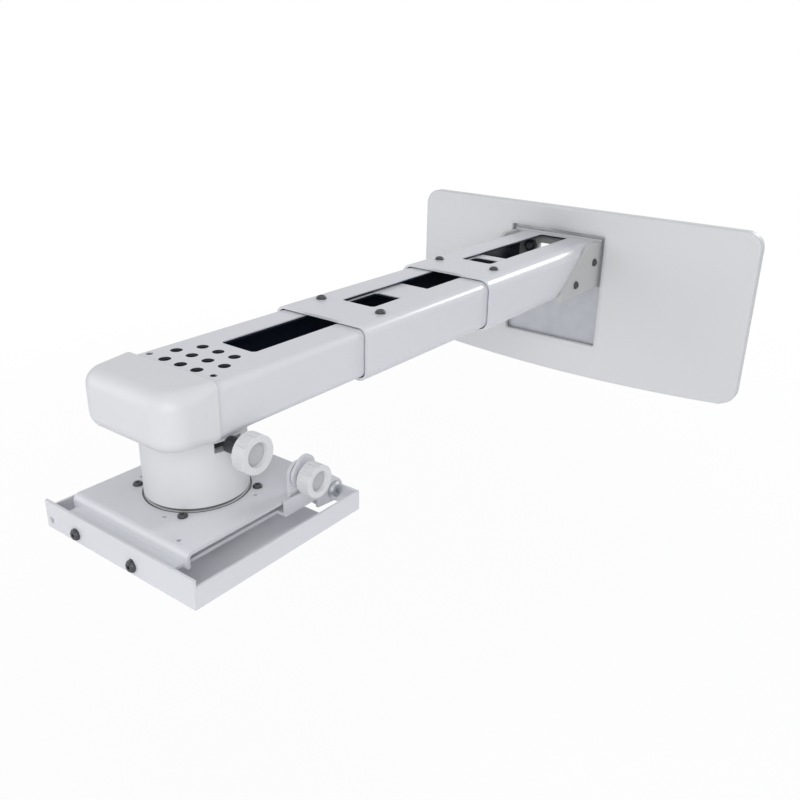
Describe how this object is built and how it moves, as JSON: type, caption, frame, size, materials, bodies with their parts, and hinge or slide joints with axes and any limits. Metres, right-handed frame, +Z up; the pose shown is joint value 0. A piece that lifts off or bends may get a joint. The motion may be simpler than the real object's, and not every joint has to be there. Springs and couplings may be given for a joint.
{
  "type": "projector wall mount",
  "caption": "Telescoping wall arm for a short-throw projector, with slotted tubes, a cover plate and a head that swivels, tips and rolls.",
  "frame": {"origin": "centre of the wall plate's bolt holes, on the wall's surface", "axes": "+X to the right along the wall as seen from the room, +Y into the wall, +Z up; the arm reaches along -Y"},
  "size_m": [0.43, 0.6479, 0.206],
  "materials": {
    "white_paint": "satin",
    "cast_white": "satin",
    "cover_plastic": "matte",
    "knob_plastic": "matte",
    "plated_steel": "plated",
    "black_steel": "black oxide",
    "nylon": "matte"
  },
  "bodies": {
    "wall": {"wall_plate": "plated_steel", "wall_cover": "cover_plastic", "cover_clips": "plated_steel", "arm_bracket": "black_steel", "bracket_nuts": "black_steel", "wall_tube": "white_paint", "wall_tube_bolts": "black_steel", "wall_tube_lock_screws": "black_steel"},
    "middle": {"middle_tube": "white_paint", "middle_tube_glides": "nylon", "middle_tube_lock_screws": "black_steel"},
    "front": {"front_tube": "white_paint", "front_tube_glides": "nylon", "end_cap": "cast_white", "cap_screws": "black_steel", "retaining_ring": "plated_steel", "ring_screws": "black_steel"},
    "yaw_screw": {"yaw_knob": "knob_plastic", "yaw_clamp_screw": "plated_steel"},
    "swivel": {"swivel_column": "cast_white", "column_screws": "black_steel", "top_plate": "white_paint", "pitch_pivot_screws": "plated_steel"},
    "pitch_screw": {"pitch_knob": "knob_plastic", "pitch_clamp_screw": "plated_steel"},
    "tilt": {"tilt_frame": "white_paint", "roll_pivot_screws": "black_steel", "roll_clamp_screws": "black_steel"},
    "tray": {"projector_tray": "white_paint"}
  },
  "joints": [
    {"name": "middle_slide", "type": "slide", "parent": "wall", "child": "middle", "axis": [0, -1, 0], "range_m": [-0.125, 0.04]},
    {"name": "front_slide", "type": "slide", "parent": "middle", "child": "front", "axis": [0, -1, 0], "range_m": [-0.09, 0.07]},
    {"name": "yaw", "type": "hinge", "parent": "front", "child": "swivel", "pos_m": [-0.023, -0.57, -0.024], "axis": [0, 0, 1], "range_deg": [-12, 12]},
    {"name": "yaw_knob_turn", "type": "hinge", "parent": "front", "child": "yaw_screw", "pos_m": [0.027, -0.57, 0.0059], "axis": [1, 0, 0], "range_deg": [0, 540]},
    {"name": "pitch_knob_turn", "type": "hinge", "parent": "swivel", "child": "pitch_screw", "pos_m": [0.047, -0.531, -0.024], "axis": [1, 0, 0], "range_deg": [0, 540]},
    {"name": "pitch", "type": "hinge", "parent": "swivel", "child": "tilt", "pos_m": [-0.02, -0.497, -0.051], "axis": [1, 0, 0], "range_deg": [0, 8]},
    {"name": "roll", "type": "hinge", "parent": "tilt", "child": "tray", "pos_m": [-0.065, -0.565, -0.061], "axis": [0, 1, 0], "range_deg": [-2.5, 2.5]}
  ]
}
